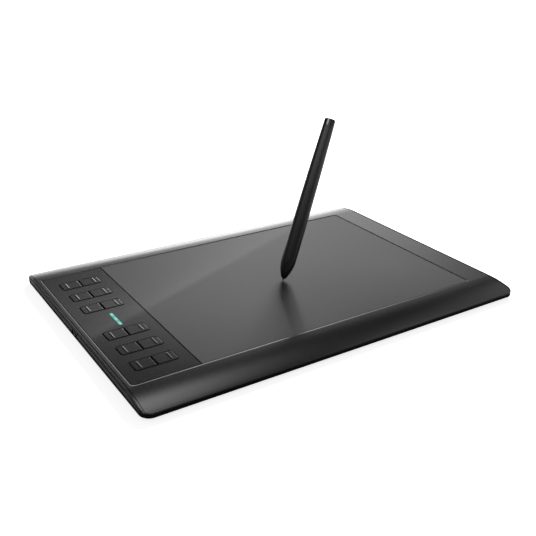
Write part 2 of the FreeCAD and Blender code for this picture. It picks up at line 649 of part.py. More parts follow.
def turned(points):
    """Solid of revolution about the pen's axis; points are (radius, distance from the tip)."""
    edges = []
    for n in range(len(points)):
        a, b = points[n - 1], points[n]
        if len(b) == 4:
            edges.append(Part.Arc(V(a[0], 0, a[1]), V(b[2], 0, b[3]), V(b[0], 0, b[1])).toShape())
        else:
            edges.append(Part.LineSegment(V(a[0], 0, a[1]), V(b[0], 0, b[1])).toShape())
    return Part.Face(Part.Wire(edges)).revolve(V(0, 0, 0), Z_AXIS, 360)


def nose_radius(s):
    """Outer radius of the nose: an arc that ends tangent to the barrel."""
    run, drop = NOSE_SHOULDER - NIB_OUT, PEN_R - NOSE_OPEN_R
    radius = (run ** 2 + drop ** 2) / (2 * drop)
    return PEN_R - radius + math.sqrt(radius ** 2 - (NOSE_SHOULDER - s) ** 2)


def barrel_radius(s):
    """Outer radius of the barrel: straight, then one long arc that narrows it to the top."""
    run, drop = PEN_L - TAPER_FROM, PEN_R - PEN_TOP_R
    radius = (run ** 2 + drop ** 2) / (2 * drop)
    return PEN_R - radius + math.sqrt(radius ** 2 - max(0.0, s - TAPER_FROM) ** 2)


def arc_point(radius_of, s0, s1, inset=0.0):
    """End of an arc at s1 and its middle, for a profile that started at s0."""
    mid = (s0 + s1) / 2
    return (radius_of(s1) - inset, s1, radius_of(mid) - inset, mid)


def pen_nose_cone():
    """Bullet-shaped nose with a bore for the nib, a stepped hollow and a spigot for the barrel."""
    bore = NIB_R + NIB_FIT
    seat, bell = FERRITE_R + NOSE_BORE_GAP, COIL_R + NOSE_BORE_GAP
    spigot_r = PEN_R - PEN_WALL - SPIGOT_FIT
    step = COIL_FROM - NOSE_BORE_GAP
    throat = FORCE_SENSOR_R + NOSE_BORE_GAP
    profile = [(bore, NIB_OUT), (nose_radius(NIB_OUT), NIB_OUT),
               arc_point(nose_radius, NIB_OUT, NOSE_SHOULDER),
               (PEN_R, NOSE_END - JOINT_LINE), (PEN_R - JOINT_LINE, NOSE_END - JOINT_LINE),
               (PEN_R - JOINT_LINE, NOSE_END), (spigot_r, NOSE_END), (spigot_r, NOSE_END + SPIGOT_L),
               (throat, NOSE_END + SPIGOT_L), (throat, COIL_TO + NOSE_BORE_GAP),
               (bell, COIL_TO + NOSE_BORE_GAP), (bell, step), (seat, step),
               (seat, FERRITE_FROM), (bore, FERRITE_FROM)]
    return turned(profile)


def pen_barrel():
    """Long tapering tube with the slot for the rocker."""
    end = PEN_L - CAP_L
    inner = PEN_R - PEN_WALL
    profile = [(inner, NOSE_END), (PEN_R, NOSE_END), (PEN_R, TAPER_FROM),
               arc_point(barrel_radius, TAPER_FROM, end), (barrel_radius(end) - PEN_WALL, end),
               arc_point(barrel_radius, end, TAPER_FROM, PEN_WALL)]
    tube = turned(profile)
    half_l, half_w = ROCKER_L / 2 + ROCKER_GAP, ROCKER_W / 2 + ROCKER_GAP
    slot = box(-half_w, half_w, 0, PEN_R + 1, ROCKER_MID - half_l, ROCKER_MID + half_l)
    return tube.cut(slot)


def pen_end_cap():
    """Glossy cap that plugs the top of the barrel."""
    start = PEN_L - CAP_L
    spigot_r = barrel_radius(start) - PEN_WALL - SPIGOT_FIT - 0.1
    line_r = barrel_radius(start) - JOINT_LINE
    shoulder = barrel_radius(start + JOINT_LINE)
    top = barrel_radius(PEN_L - CAP_ROUND)
    k = CAP_ROUND * (1 - math.sqrt(0.5))
    profile = [(0, start - CAP_SPIGOT_L), (spigot_r, start - CAP_SPIGOT_L), (spigot_r, start),
               (line_r, start), (line_r, start + JOINT_LINE), (shoulder, start + JOINT_LINE),
               (top, PEN_L - CAP_ROUND), (top - CAP_ROUND, PEN_L, top - k, PEN_L - k), (0, PEN_L)]
    return turned(profile)


def pen_nib():
    """Slim plastic nib that is pulled out and replaced when worn."""
    k = math.sqrt(0.5)
    profile = [(0, 0), (NIB_TIP_R, NIB_TIP_R, NIB_TIP_R * k, NIB_TIP_R * (1 - k)),
               (NIB_R, NIB_TIP_L), (NIB_R, PLUNGER_FROM), (0, PLUNGER_FROM)]
    return turned(profile)


def pen_plunger():
    """Cup behind the nib that presses on the force sensor."""
    return rod(PLUNGER_R, PLUNGER_FROM, PLUNGER_TO)


def pen_ferrite():
    tube = rod(FERRITE_R, FERRITE_FROM, FERRITE_TO)
    return tube.cut(rod(NIB_R + NIB_FIT, FERRITE_FROM, FERRITE_TO))


def pen_coil():
    """Winding round the ferrite core."""
    turns = rod(COIL_R, COIL_FROM, COIL_TO)
    return turns.cut(rod(FERRITE_R + COIL_FIT, COIL_FROM, COIL_TO))


def pen_force_sensor():
    """Housing with a blind bore in which the plunger moves by the travel of the nib."""
    body = rod(FORCE_SENSOR_R, SENSOR_FROM, SENSOR_TO)
    return body.cut(rod(PLUNGER_R + PLUNGER_FIT, SENSOR_FROM, PLUNGER_TO + NIB_TRAVEL + FLOAT))


def rocker_ears(bore):
    """Two upright ears of the chassis with the bore for the rocker's pin."""
    x0 = ROCKER_W / 2 + EAR_GAP
    half, top = ROCKER_PIN_R + 0.6, ROCKER_PIN_Y + ROCKER_PIN_R + 0.35
    ears = []
    for side in (-1, 1):
        xs = sorted((side * x0, side * (x0 + EAR_T)))
        ears.append(box(*xs, -1, top, ROCKER_MID - half, ROCKER_MID + half))
    pin = Part.makeCylinder(bore, 4 * x0, V(-2 * x0, ROCKER_PIN_Y, ROCKER_MID), X_AXIS)
    return [ear.cut(pin) for ear in ears]


def pen_chassis():
    """Carrier inside the barrel: collar, open trough and the rocker's ears."""
    collar = rod(PEN_R - PEN_WALL - 0.15, CHASSIS_FROM, COLLAR_TO)
    collar = collar.cut(rod(FORCE_SENSOR_R + 0.05, 0, COLLAR_TO))
    trough = rod(CHASSIS_R, COLLAR_TO, CHASSIS_TO)
    hollow = rod(CHASSIS_R - CHASSIS_T, COLLAR_TO, CHASSIS_TO - CHASSIS_T)
    lid = box(-PEN_R, PEN_R, PEN_BOARD_Y, PEN_R, COLLAR_TO, CHASSIS_TO)
    carrier = collar.fuse(trough.cut(hollow).cut(lid))
    inner = CHASSIS_R - CHASSIS_T / 2
    for ear in rocker_ears(ROCKER_PIN_R + ROCKER_PIN_FIT):
        carrier = carrier.fuse(ear)
    web_half = ROCKER_PIN_R + 0.6
    web = box(-inner, inner, -1 - CHASSIS_T, -1, ROCKER_MID - web_half, ROCKER_MID + web_half)
    return carrier.fuse(web.common(rod(inner, 0, PEN_L))).removeSplitter()


def pen_board():
    """Narrow board on the trough, notched beside the rocker's ears."""
    half = PEN_BOARD_W / 2
    board = box(-half, half, PEN_BOARD_Y, PEN_BOARD_Y + PEN_BOARD_T, PEN_BOARD_FROM, PEN_BOARD_TO)
    reach = ROCKER_PIN_R + 0.6 + 0.2
    for side in (-1, 1):
        xs = sorted((side * (ROCKER_W / 2 - 0.1), side * (half + 1)))
        board = board.cut(box(*xs, 0, PEN_R, ROCKER_MID - reach, ROCKER_MID + reach))
    return board


def pen_switches():
    """Two small switches under the ends of the rocker."""
    low = PEN_BOARD_Y + PEN_BOARD_T
    switches = []
    for side in (-1, 1):
        s = ROCKER_MID + side * SWITCH_OUT
        can = box(-SWITCH_W / 2, SWITCH_W / 2, low, ROCKER_UNDER - SWITCH_GAP - 0.4,
                  s - SWITCH_W / 2, s + SWITCH_W / 2)
        knob = Part.makeCylinder(SWITCH_W / 4, ROCKER_UNDER - SWITCH_GAP - low, V(0, low, s), Y_AXIS)
        switches.append(can.fuse(knob).removeSplitter())
    return Part.makeCompound(switches)


def pen_rocker():
    """Side rocker with a waist in the middle, one leg and the pivot pin."""
    half_l, half_w = ROCKER_L / 2, ROCKER_W / 2
    s0, s1 = ROCKER_MID - half_l, ROCKER_MID + half_l
    crown_r = PEN_R + ROCKER_PROUD
    bar = box(-half_w, half_w, ROCKER_UNDER, crown_r + 1, s0, s1)
    ends = [e for e in bar.Edges if abs(e.Vertexes[0].Z - e.Vertexes[-1].Z) < 1e-6 and
            abs(e.Vertexes[0].X - e.Vertexes[-1].X) < 1e-6]
    bar = bar.makeFillet(half_w * 0.6, ends).common(rod(crown_r, s0, s1))
    waist_y = crown_r + ROCKER_WAIST_R - ROCKER_WAIST_DEPTH
    waist = Part.makeCylinder(ROCKER_WAIST_R, ROCKER_W, V(-half_w, waist_y, ROCKER_MID), X_AXIS)
    leg = box(-half_w, half_w, ROCKER_PIN_Y - ROCKER_PIN_R, ROCKER_UNDER + 0.1,
              ROCKER_MID - ROCKER_LEG, ROCKER_MID + ROCKER_LEG)
    pin = Part.makeCylinder(ROCKER_PIN_R, ROCKER_PIN_L, V(-ROCKER_PIN_L / 2, ROCKER_PIN_Y, ROCKER_MID),
                            X_AXIS)
    return bar.cut(waist).fuse([leg, pin]).removeSplitter()


def pen_battery():
    """Rechargeable cell behind the chassis, with a stepped end."""
    cell = rod(BATTERY_R, BATTERY_FROM, BATTERY_TO - BATTERY_CAN)
    return cell.fuse(rod(BATTERY_R - BATTERY_CAN, BATTERY_FROM, BATTERY_TO)).removeSplitter()


def all_parts():
    """Every node of the model, by name."""
    parts = {
        "top_cover": top_cover(), "bottom_cover": bottom_cover(), "rubber_feet": rubber_feet(),
        "drawing_surface": drawing_surface(), "key_panel": key_panel(), "light_guide": light_guide(),
        "indicator_leds": indicator_leds(), "main_board": main_board(), "board_chips": board_chips(),
        "sensor_board": sensor_board(), "shield_plate": shield_plate(), "ribbon_cable": ribbon_cable(),
        "usb_socket": usb_socket(), "usb_insert": usb_insert(), "case_screws": case_screws(),
        "board_screws": board_screws(),
    }
    for number, y in enumerate(ROW_Y, start=1):
        for side, word in ((-1, "left"), (1, "right")):
            parts[f"key_{number}_{word}"] = key(side, y)
            parts[f"dome_{number}_{word}"] = dome(side, y)
    pen = {
        "pen_nose_cone": pen_nose_cone(), "pen_barrel": pen_barrel(), "pen_end_cap": pen_end_cap(),
        "pen_nib": pen_nib(), "pen_plunger": pen_plunger(), "pen_ferrite": pen_ferrite(),
        "pen_coil": pen_coil(), "pen_force_sensor": pen_force_sensor(), "pen_chassis": pen_chassis(),
        "pen_board": pen_board(), "pen_switches": pen_switches(), "pen_rocker": pen_rocker(),
        "pen_battery": pen_battery(),
    }
    for name, shape in pen.items():
        parts[name] = shape.transformShape(pen_place().toMatrix(), True)
    return parts


def report_joints():
    """Print the places and directions that the joints need, in metres."""
    place = pen_place()
    pivot = place.multVec(V(0, ROCKER_PIN_Y, ROCKER_MID)) * 0.001
    print("pen axis", tuple(round(c, 6) for c in pen_turn().multVec(Z_AXIS)))
    print("rocker pivot", tuple(round(c, 6) for c in pivot))
    print("rocker axis", tuple(round(c, 6) for c in pen_turn().multVec(X_AXIS)))
    print("dome foot", round(BOARD_Z * 0.001, 6), "key travel", KEY_TRAVEL, "nib travel", NIB_TRAVEL)


os.makedirs("parts", exist_ok=True)
for node, solid in all_parts().items():
    box_size = solid.BoundBox
    print(f"{node}: {len(solid.Solids)} solids, volume {solid.Volume:.1f}, valid {solid.isValid()},"
          f" box {box_size.XLength:.1f} {box_size.YLength:.1f} {box_size.ZLength:.1f}")
    solid.exportStep(f"parts/{node}.step")
report_joints()
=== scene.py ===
import bpy
import math
from mathutils import Matrix, Vector


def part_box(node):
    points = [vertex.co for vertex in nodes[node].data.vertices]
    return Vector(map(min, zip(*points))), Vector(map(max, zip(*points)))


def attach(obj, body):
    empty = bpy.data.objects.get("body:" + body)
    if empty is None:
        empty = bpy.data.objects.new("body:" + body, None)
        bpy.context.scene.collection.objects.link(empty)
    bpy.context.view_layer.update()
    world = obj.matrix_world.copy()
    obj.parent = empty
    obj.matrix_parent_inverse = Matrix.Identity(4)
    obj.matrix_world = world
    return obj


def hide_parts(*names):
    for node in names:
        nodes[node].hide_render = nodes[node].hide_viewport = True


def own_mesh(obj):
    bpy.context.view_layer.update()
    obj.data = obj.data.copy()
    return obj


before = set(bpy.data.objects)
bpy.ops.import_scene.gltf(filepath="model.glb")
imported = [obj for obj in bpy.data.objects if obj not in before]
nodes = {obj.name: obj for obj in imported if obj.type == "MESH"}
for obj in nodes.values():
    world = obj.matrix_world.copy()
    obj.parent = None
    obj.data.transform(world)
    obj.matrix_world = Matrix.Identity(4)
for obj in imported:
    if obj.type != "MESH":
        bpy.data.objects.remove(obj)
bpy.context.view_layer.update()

scene = bpy.context.scene
scene.view_settings.view_transform = "Standard"


# Bottom cover
# A black moulded tray with a fine spark-eroded texture. It closes the tablet from below, held by
# seven screws, and its four walls meet the top cover at the seam.

def add_node(tree, kind, **values):
    """Adds a shader node. Each value goes to the property or the socket of its name, and an output
    of another node is linked to that socket."""
    made = tree.nodes.new(kind)
    for name, value in values.items():
        socket = name.replace("_", " ")
        if hasattr(made, name):
            setattr(made, name, value)
        elif isinstance(value, bpy.types.NodeSocket):
            tree.links.new(value, made.inputs[socket])
        else:
            made.inputs[socket].default_value = value
    return made


def maths(tree, operation, *values):
    """Adds a Math node on numbers and on outputs of other nodes, and returns its output."""
    made = add_node(tree, "ShaderNodeMath", operation=operation)
    for socket, value in zip(made.inputs, values):
        if isinstance(value, bpy.types.NodeSocket):
            tree.links.new(value, socket)
        else:
            socket.default_value = value
    return made.outputs[0]


def scaled_color(tree, color, factor):
    """Multiplies a colour by a value that changes over the surface."""
    made = add_node(tree, "ShaderNodeVectorMath", operation="SCALE", Scale=factor)
    tree.links.new(color, made.inputs[0])
    return made.outputs[0]


def new_group(name, inputs, outputs):
    """Starts a shader node group, whose inputs and outputs are given by name and kind."""
    group = bpy.data.node_groups.new(name, "ShaderNodeTree")
    for in_out, sockets in (("INPUT", inputs), ("OUTPUT", outputs)):
        for label, kind in sockets.items():
            group.interface.new_socket(label, in_out=in_out, socket_type="NodeSocket" + kind)
    return group, group.nodes.new("NodeGroupInput"), group.nodes.new("NodeGroupOutput")


def moulded_surface_group():
    """Texture of a moulded face: a fine pebble, and slow changes of tone and gloss."""
    group, given, out = new_group(
        "moulded_surface",
        {"Color": "Color", "Pebble Size": "Float", "Roughness": "Float",
         "Roughness Change": "Float", "Tone Change": "Float"},
        {"Color": "Color", "Roughness": "Float", "Height": "Float"})
    link = group.links.new
    place = add_node(group, "ShaderNodeTexCoord").outputs["Object"]
    per_metre = maths(group, "DIVIDE", 1.0, given.outputs["Pebble Size"])
    pebble = add_node(group, "ShaderNodeTexNoise", Vector=place, Scale=per_metre, Detail=2.0,
                      Roughness=0.6)
    patches = add_node(group, "ShaderNodeTexNoise", Vector=place, Scale=14.0, Detail=4.0,
                       Roughness=0.55)
    noise_middle = 0.5
    change = maths(group, "SUBTRACT", patches.outputs["Fac"], noise_middle)
    gloss = maths(group, "MULTIPLY_ADD", change, given.outputs["Roughness Change"],
                  given.outputs["Roughness"])
    tone = maths(group, "MULTIPLY_ADD", change, given.outputs["Tone Change"], 1.0)
    link(scaled_color(group, given.outputs["Color"], tone), out.inputs["Color"])
    link(gloss, out.inputs["Roughness"])
    link(pebble.outputs["Fac"], out.inputs["Height"])
    return group


MOULDED_SURFACE = moulded_surface_group()


def new_material(name, **settings):
    """A material with a Principled shader. The settings are values of that shader's own sockets."""
    material = bpy.data.materials.new(name)
    material.use_nodes = True
    tree = material.node_tree
    shader = tree.nodes["Principled BSDF"]
    for setting, value in settings.items():
        shader.inputs[setting.replace("_", " ")].default_value = value
    return material, tree, shader


def moulded_plastic(name, color, pebble_mm, depth_mm, roughness, roughness_change=0.06,
                    tone_change=0.08, **settings):
    """Plastic with the pebble of its mould, of a size and a depth in millimetres."""
    material, tree, shader = new_material(name, **settings)
    link = tree.links.new
    surface = add_node(tree, "ShaderNodeGroup", node_tree=MOULDED_SURFACE, Color=(*color, 1.0),
                       Pebble_Size=pebble_mm / 1000, Roughness=roughness,
                       Roughness_Change=roughness_change, Tone_Change=tone_change)
    bump = add_node(tree, "ShaderNodeBump", Distance=depth_mm / 1000,
                    Height=surface.outputs["Height"])
    link(surface.outputs["Color"], shader.inputs["Base Color"])
    link(surface.outputs["Roughness"], shader.inputs["Roughness"])
    link(bump.outputs["Normal"], shader.inputs["Normal"])
    return material


def dress(material, *names):
    """Gives CAD nodes their material."""
    for name in names:
        mesh = nodes[name].data
        mesh.materials.clear()
        mesh.materials.append(material)


tray_black = moulded_plastic("tray_black", (0.008, 0.008, 0.0083), pebble_mm=0.6,
                             depth_mm=0.015, roughness=0.6, Specular_IOR_Level=0.01)
dress(tray_black, "bottom_cover")


# Feet
# Four pads of soft black rubber that keep the tablet from sliding. They are die-cut with a small
# bevel and glued into seats in the bottom cover.

foot_rubber = moulded_plastic("foot_rubber", (0.02, 0.02, 0.021), pebble_mm=0.5,
                              depth_mm=0.025, roughness=0.8, tone_change=0.2)
dress(foot_rubber, "rubber_feet")


# Screws
# Zinc-plated steel screws: seven go in from below, through the tray into the top cover, and four
# hold the board. They are rolled and turned, which leaves fine streaks.

def metal_streaks_group():
    """Streaks that rolling, drawing and turning leave on metal, in its tone and its gloss."""
    group, given, out = new_group(
        "metal_streaks",
        {"Color": "Color", "Roughness": "Float", "Streak Size": "Float", "Stretch": "Vector"},
        {"Color": "Color", "Roughness": "Float"})
    link = group.links.new
    place = add_node(group, "ShaderNodeTexCoord")
    stretched = add_node(group, "ShaderNodeMapping", Vector=place.outputs["Object"],
                         Scale=given.outputs["Stretch"])
    per_metre = maths(group, "DIVIDE", 1.0, given.outputs["Streak Size"])
    streaks = add_node(group, "ShaderNodeTexNoise", Vector=stretched.outputs["Vector"],
                       Scale=per_metre, Detail=3.0)
    tone = add_node(group, "ShaderNodeMapRange", Value=streaks.outputs["Fac"], To_Min=0.8,
                    To_Max=1.0)
    gloss = add_node(group, "ShaderNodeMapRange", Value=streaks.outputs["Fac"], To_Min=-0.08,
                     To_Max=0.1)
    link(scaled_color(group, given.outputs["Color"], tone.outputs["Result"]), out.inputs["Color"])
    link(maths(group, "ADD", given.outputs["Roughness"], gloss.outputs["Result"]),
         out.inputs["Roughness"])
    return group


METAL_STREAKS = metal_streaks_group()


def streaked_metal(name, color, roughness, streak_mm, stretch=(1, 1, 1)):
    """Bare or plated metal. The streaks are long along the axis with the smallest stretch."""
    material, tree, shader = new_material(name, Metallic=1.0)
    surface = add_node(tree, "ShaderNodeGroup", node_tree=METAL_STREAKS, Color=(*color, 1.0),
                       Roughness=roughness, Streak_Size=streak_mm / 1000, Stretch=stretch)
    tree.links.new(surface.outputs["Color"], shader.inputs["Base Color"])
    tree.links.new(surface.outputs["Roughness"], shader.inputs["Roughness"])
    return material


screw_zinc = streaked_metal("screw_zinc", (0.42, 0.42, 0.43), roughness=0.35, streak_mm=0.4)
dress(screw_zinc, "case_screws", "board_screws")


# Boards
# Green glass-fibre boards: one screwed down under the keys, a large one with a grid of crossed
# loops behind the work area, and one inside the pen. Their copper lines show through the varnish,
# and a flat ribbon joins the first two.

def copper_grid_group():
    """Raised copper lines that cross under green varnish, at a pitch in metres."""
    group, given, out = new_group("copper_grid", {"Pitch": "Float"},
                                  {"Color": "Color", "Height": "Float"})
    link = group.links.new
    place = add_node(group, "ShaderNodeTexCoord")
    pitch_at_scale_one = 0.314
    scale = maths(group, "DIVIDE", pitch_at_scale_one, given.outputs["Pitch"])
    across, along = (add_node(group, "ShaderNodeTexWave", wave_type="BANDS", bands_direction=axis,
                              Vector=place.outputs["Object"], Scale=scale) for axis in "XY")
    crests = maths(group, "MAXIMUM", across.outputs["Fac"], along.outputs["Fac"])
    lines = add_node(group, "ShaderNodeMapRange", Value=crests, From_Min=0.8, From_Max=0.86)
    tint = add_node(group, "ShaderNodeMix", data_type="RGBA", Factor=lines.outputs["Result"],
                    A=(0.004, 0.05, 0.018, 1.0), B=(0.02, 0.14, 0.045, 1.0))
    link(tint.outputs["Result"], out.inputs["Color"])
    link(lines.outputs["Result"], out.inputs["Height"])
    return group


COPPER_GRID = copper_grid_group()
COPPER_HEIGHT = 0.00003


def printed_board(name, pitch_mm):
    """Varnished board with copper lines at a pitch in millimetres."""
    material, tree, shader = new_material(name, Roughness=0.3, Coat_Weight=0.4, Coat_Roughness=0.15)
    surface = add_node(tree, "ShaderNodeGroup", node_tree=COPPER_GRID, Pitch=pitch_mm / 1000)
    bump = add_node(tree, "ShaderNodeBump", Distance=COPPER_HEIGHT,
                    Height=surface.outputs["Height"])
    tree.links.new(surface.outputs["Color"], shader.inputs["Base Color"])
    tree.links.new(bump.outputs["Normal"], shader.inputs["Normal"])
    return material


dress(printed_board("sensing_grid_board", pitch_mm=5.0), "sensor_board")
dress(printed_board("small_board", pitch_mm=1.2), "main_board", "pen_board")
chip_black = moulded_plastic("chip_black", (0.012, 0.012, 0.013), pebble_mm=0.2,
                             depth_mm=0.005, roughness=0.5)
dress(chip_black, "board_chips")
ribbon_amber = moulded_plastic("ribbon_amber", (0.35, 0.14, 0.02), pebble_mm=2.0,
                               depth_mm=0.005, roughness=0.3)
dress(ribbon_amber, "ribbon_cable")


# Shield
# A tinned steel sheet stuck to the back of the sensing board. It keeps metal in the desk from
# upsetting the pen's field.

shield_tin = streaked_metal("shield_tin", (0.6, 0.61, 0.62), roughness=0.4, streak_mm=3.0,
                            stretch=(0.05, 1, 1))
dress(shield_tin, "shield_plate")


# Top cover
# One moulding in dark grey plastic: the flat rim, the curved aprons at the front and the rear, and
# the walls down to the seam. The top is satin, and the walls and lips are duller.

case_satin = moulded_plastic("case_satin", (0.001, 0.001, 0.0011), pebble_mm=0.5,
                             depth_mm=0.005, roughness=0.24, roughness_change=0.03,
                             tone_change=0.06, Specular_IOR_Level=1.0)
wall_dull = moulded_plastic("wall_dull", (0.012, 0.012, 0.0124), pebble_mm=0.6,
                            depth_mm=0.01, roughness=0.5, Specular_IOR_Level=0.06)
glue_black = moulded_plastic("glue_black", (0.003, 0.003, 0.003), pebble_mm=1.0,
                             depth_mm=0.01, roughness=0.7, Specular_IOR_Level=0.02)


def dress_faces(material, name, fits):
    """Gives the faces of a CAD node that fit, by middle and normal, a further material."""
    mesh = nodes[name].data
    mesh.materials.append(material)
    slot = len(mesh.materials) - 1
    for face in mesh.polygons:
        if fits(face.center, face.normal):
            face.material_index = slot


# the walls and lips are the faces whose normals lie low, and black glue covers the recess's floor
LOW_NORMAL = 0.4
GLUE_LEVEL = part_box("drawing_surface")[0].z
GLUE_TOLERANCE = 0.00002
dress(case_satin, "top_cover")
dress_faces(wall_dull, "top_cover", lambda middle, normal: abs(normal.z) < LOW_NORMAL)
dress_faces(glue_black, "top_cover",
            lambda middle, normal: abs(middle.z - GLUE_LEVEL) < GLUE_TOLERANCE)


# Drawing surface
# A thin plastic sheet, pressed with a fine grain that gives the nib a feel like paper. It is glued
# into the recess of the top cover.

drawing_sheet = moulded_plastic("drawing_sheet", (0.054, 0.054, 0.0544), pebble_mm=0.35,
                                depth_mm=0.005, roughness=0.38, roughness_change=0.03,
                                tone_change=0.05, Specular_IOR_Level=0.2, Coat_Weight=0.15,
                                Coat_Roughness=0.04)
dress(drawing_sheet, "drawing_surface")


# Key panel
# A thin sheet as thick as the drawing surface, smoother and darker. It is punched for the keys and
# for the light bar, and glued into the same recess.

strip_plastic = moulded_plastic("strip_plastic", (0.0128, 0.0128, 0.0129), pebble_mm=0.4,
                                depth_mm=0.0025, roughness=0.25, roughness_change=0.03,
                                tone_change=0.05, Specular_IOR_Level=0.14, Coat_Weight=0.24,
                                Coat_Roughness=0.04)
dress(strip_plastic, "key_panel")


# Keys and domes
# Twelve moulded keys in six pairs, each with a ridge for the finger and a ledge that keeps it under
# the top cover. Each presses a sprung steel dome on the board, which flattens by the key's travel.

KEY_PAIRS = 6
key_plastic = moulded_plastic("key_plastic", (0.01, 0.01, 0.0101), pebble_mm=0.3,
                              depth_mm=0.0025, roughness=0.25, Specular_IOR_Level=0.14,
                              Coat_Weight=0.24, Coat_Roughness=0.05)
dome_steel = streaked_metal("dome_steel", (0.7, 0.7, 0.7), roughness=0.2, streak_mm=1.0)
for number in range(1, KEY_PAIRS + 1):
    for side in ("left", "right"):
        key, dome = f"key_{number}_{side}", f"dome_{number}_{side}"
        dress(key_plastic, key)
        dress(dome_steel, dome)
        # a copy with a mesh of its own stands for the dome, which is hidden; a copy
        # stands for the dome, since a CAD node itself can't flatten
        sprung = bpy.data.objects.new(f"sprung_{dome}", nodes[dome].data.copy())
        scene.collection.objects.link(sprung)
        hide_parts(dome)
        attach(sprung, "tablet")
        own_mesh(sprung)


# Light bar
# A clear bar let into the key panel, lit from below by three lamps on the board. It glows teal,
# brightest over each lamp and along its middle line.

LAMP_COUNT = 3
GLOW_BETWEEN_LAMPS = 0.35
GLOW_DIM, GLOW_BRIGHT = (0.008, 0.13, 0.11, 1.0), (0.17, 0.62, 0.49, 1.0)
bar_low, bar_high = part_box("light_guide")
glowing_bar, tree, shader = new_material("glowing_bar", Base_Color=(0.02, 0.1, 0.08, 1.0),
                                         Roughness=0.2, Emission_Strength=1.0)
place = add_node(tree, "ShaderNodeTexCoord")
axes = add_node(tree, "ShaderNodeSeparateXYZ", Vector=place.outputs["Object"])
turn_per_metre = 2 * math.pi * LAMP_COUNT / (bar_high.y - bar_low.y)
turn = maths(tree, "MULTIPLY_ADD", axes.outputs["Y"], turn_per_metre,
             -turn_per_metre * bar_low.y - math.pi)
over_lamp = add_node(tree, "ShaderNodeMapRange", Value=maths(tree, "COSINE", turn), From_Min=-1.0,
                     To_Min=GLOW_BETWEEN_LAMPS)
from_line = maths(tree, "SUBTRACT", axes.outputs["X"], (bar_low.x + bar_high.x) / 2)
along_line = add_node(tree, "ShaderNodeMapRange", interpolation_type="SMOOTHSTEP",
                      Value=maths(tree, "ABSOLUTE", from_line),
                      From_Max=(bar_high.x - bar_low.x) / 2, To_Min=1.0, To_Max=0.0)
lit = maths(tree, "MULTIPLY", over_lamp.outputs["Result"], along_line.outputs["Result"])
tint = add_node(tree, "ShaderNodeMix", data_type="RGBA", Factor=lit, A=GLOW_DIM, B=GLOW_BRIGHT)
tree.links.new(tint.outputs["Result"], shader.inputs["Emission Color"])
dress(glowing_bar, "light_guide")
lamp_gel = moulded_plastic("lamp_gel", (0.6, 0.7, 0.6), pebble_mm=0.5, depth_mm=0.005,
                           roughness=0.3)
dress(lamp_gel, "indicator_leds")


# USB socket
# A folded, tin-plated steel shell with a black insert, soldered into a notch of the main board
# behind the opening in the left wall.

socket_tin = streaked_metal("socket_tin", (0.62, 0.62, 0.62), roughness=0.25, streak_mm=0.6,
                            stretch=(0.2, 1, 1))
dress(socket_tin, "usb_socket")
insert_black = moulded_plastic("insert_black", (0.015, 0.015, 0.015), pebble_mm=0.2,
                               depth_mm=0.005, roughness=0.45)
dress(insert_black, "usb_insert")


# Pen barrel and nose
# Two slim black mouldings with a soft satin finish: a long barrel that narrows towards the top and
# a bullet-shaped nose pushed into its end.

pen_satin = moulded_plastic("pen_satin", (0.006, 0.0062, 0.0065), pebble_mm=0.3,
                            depth_mm=0.005, roughness=0.38, roughness_change=0.04,
                            Specular_IOR_Level=0.2)
dress(pen_satin, "pen_barrel", "pen_nose_cone")


# Pen cap and rocker
# Two polished black mouldings. The cap is pushed into the top of the barrel, and the rocker looks
# out of a slot in its side and turns on a pin, over two switches.

GLOSS_BLACK = (0.008, 0.008, 0.0085)
polished_black = moulded_plastic("polished_black", GLOSS_BLACK, pebble_mm=2.0,
                                 depth_mm=0.0025, roughness=0.12, Specular_IOR_Level=0.3,
                                 Coat_Weight=0.25, Coat_Roughness=0.05)
dress(polished_black, "pen_rocker")
cap_gloss = moulded_plastic("cap_gloss", GLOSS_BLACK, pebble_mm=2.0, depth_mm=0.0025,
                            roughness=0.12, Specular_IOR_Level=0.12)
dress(cap_gloss, "pen_end_cap")


# Inside the pen
# The nib and its plunger, the ferrite core with its winding, the force sensor, the carrier with the
# board and its two switches, and the cell. They slide into the barrel's wide end, behind the nose.

nib_black = moulded_plastic("nib_black", (0.014, 0.014, 0.014), pebble_mm=0.1,
                            depth_mm=0.002, roughness=0.5)
dress(nib_black, "pen_nib", "pen_plunger")
ferrite_grey = moulded_plastic("ferrite_grey", (0.03, 0.03, 0.032), pebble_mm=0.1,
                               depth_mm=0.01, roughness=0.65)
dress(ferrite_grey, "pen_ferrite")
winding_copper = streaked_metal("winding_copper", (0.7, 0.3, 0.14), roughness=0.3,
                                streak_mm=0.2, stretch=(1, 1, 4))
dress(winding_copper, "pen_coil")
sensor_ivory = moulded_plastic("sensor_ivory", (0.5, 0.47, 0.38), pebble_mm=0.3,
                               depth_mm=0.005, roughness=0.45)
dress(sensor_ivory, "pen_force_sensor")
carrier_grey = moulded_plastic("carrier_grey", (0.1, 0.1, 0.1), pebble_mm=0.3,
                               depth_mm=0.01, roughness=0.55)
dress(carrier_grey, "pen_chassis")
switch_tin = streaked_metal("switch_tin", (0.55, 0.55, 0.55), roughness=0.3, streak_mm=0.3)
dress(switch_tin, "pen_switches")
cell_can = streaked_metal("cell_can", (0.72, 0.72, 0.73), roughness=0.3, streak_mm=0.8,
                          stretch=(1, 1, 0.1))
dress(cell_can, "pen_battery")


# Lamps
# One softbox behind the tablet and to its right casts the shadows. Four small lights with snoots
# reach the pen alone and draw the streaks on it, one of them only the streak on its cap.

